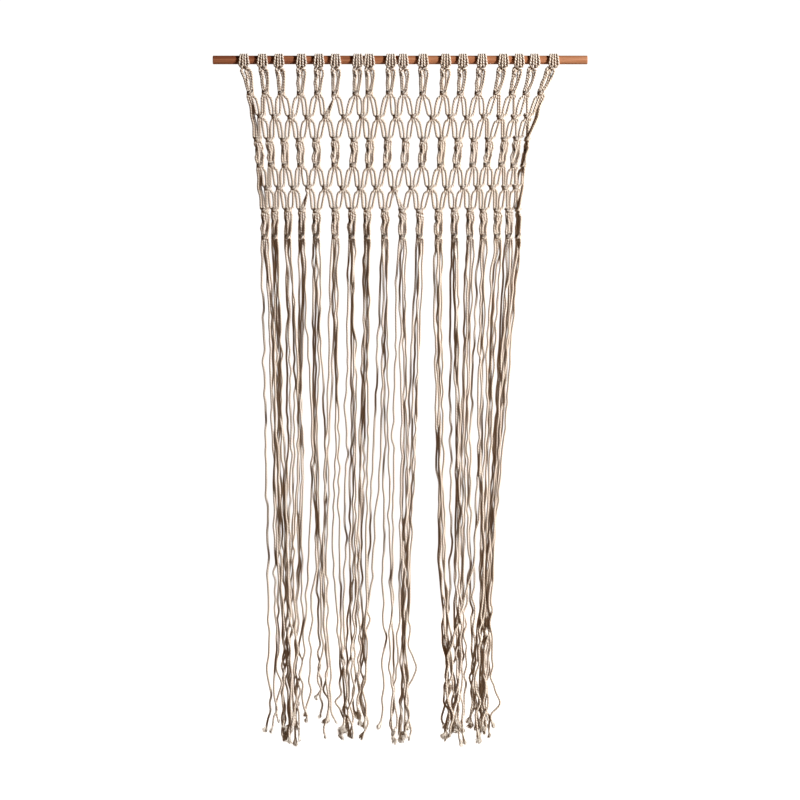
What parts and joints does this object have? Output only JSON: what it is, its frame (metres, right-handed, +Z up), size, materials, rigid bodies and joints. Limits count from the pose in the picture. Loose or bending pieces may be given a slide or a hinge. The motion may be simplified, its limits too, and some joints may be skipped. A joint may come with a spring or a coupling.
{
  "type": "macrame door curtain on a hanging rod",
  "caption": "Knotted cotton-cord door curtain: an open diamond net looped over a round wooden rod, with long loose cords hanging from it.",
  "frame": {"origin": "on the rod's axis, half way along it", "axes": "+X along the rod, -Y towards the viewer of the curtain's face, +Z up"},
  "size_m": [1.08, 0.036, 1.9955],
  "materials": {
    "stained_wood": "satin stain over fine straight grain",
    "cotton_cord": "matt twisted three-ply cotton"
  },
  "bodies": {
    "root": {"rod": "stained_wood", "macrame_net": "cotton_cord", "strings_01": "cotton_cord", "strings_02": "cotton_cord", "strings_03": "cotton_cord", "strings_04": "cotton_cord", "strings_05": "cotton_cord", "strings_06": "cotton_cord", "strings_07": "cotton_cord", "strings_08": "cotton_cord", "strings_09": "cotton_cord", "strings_10": "cotton_cord", "strings_11": "cotton_cord", "strings_12": "cotton_cord", "strings_13": "cotton_cord", "strings_14": "cotton_cord", "strings_15": "cotton_cord", "strings_16": "cotton_cord", "strings_17": "cotton_cord", "strings_18": "cotton_cord"}
  },
  "joints": []
}
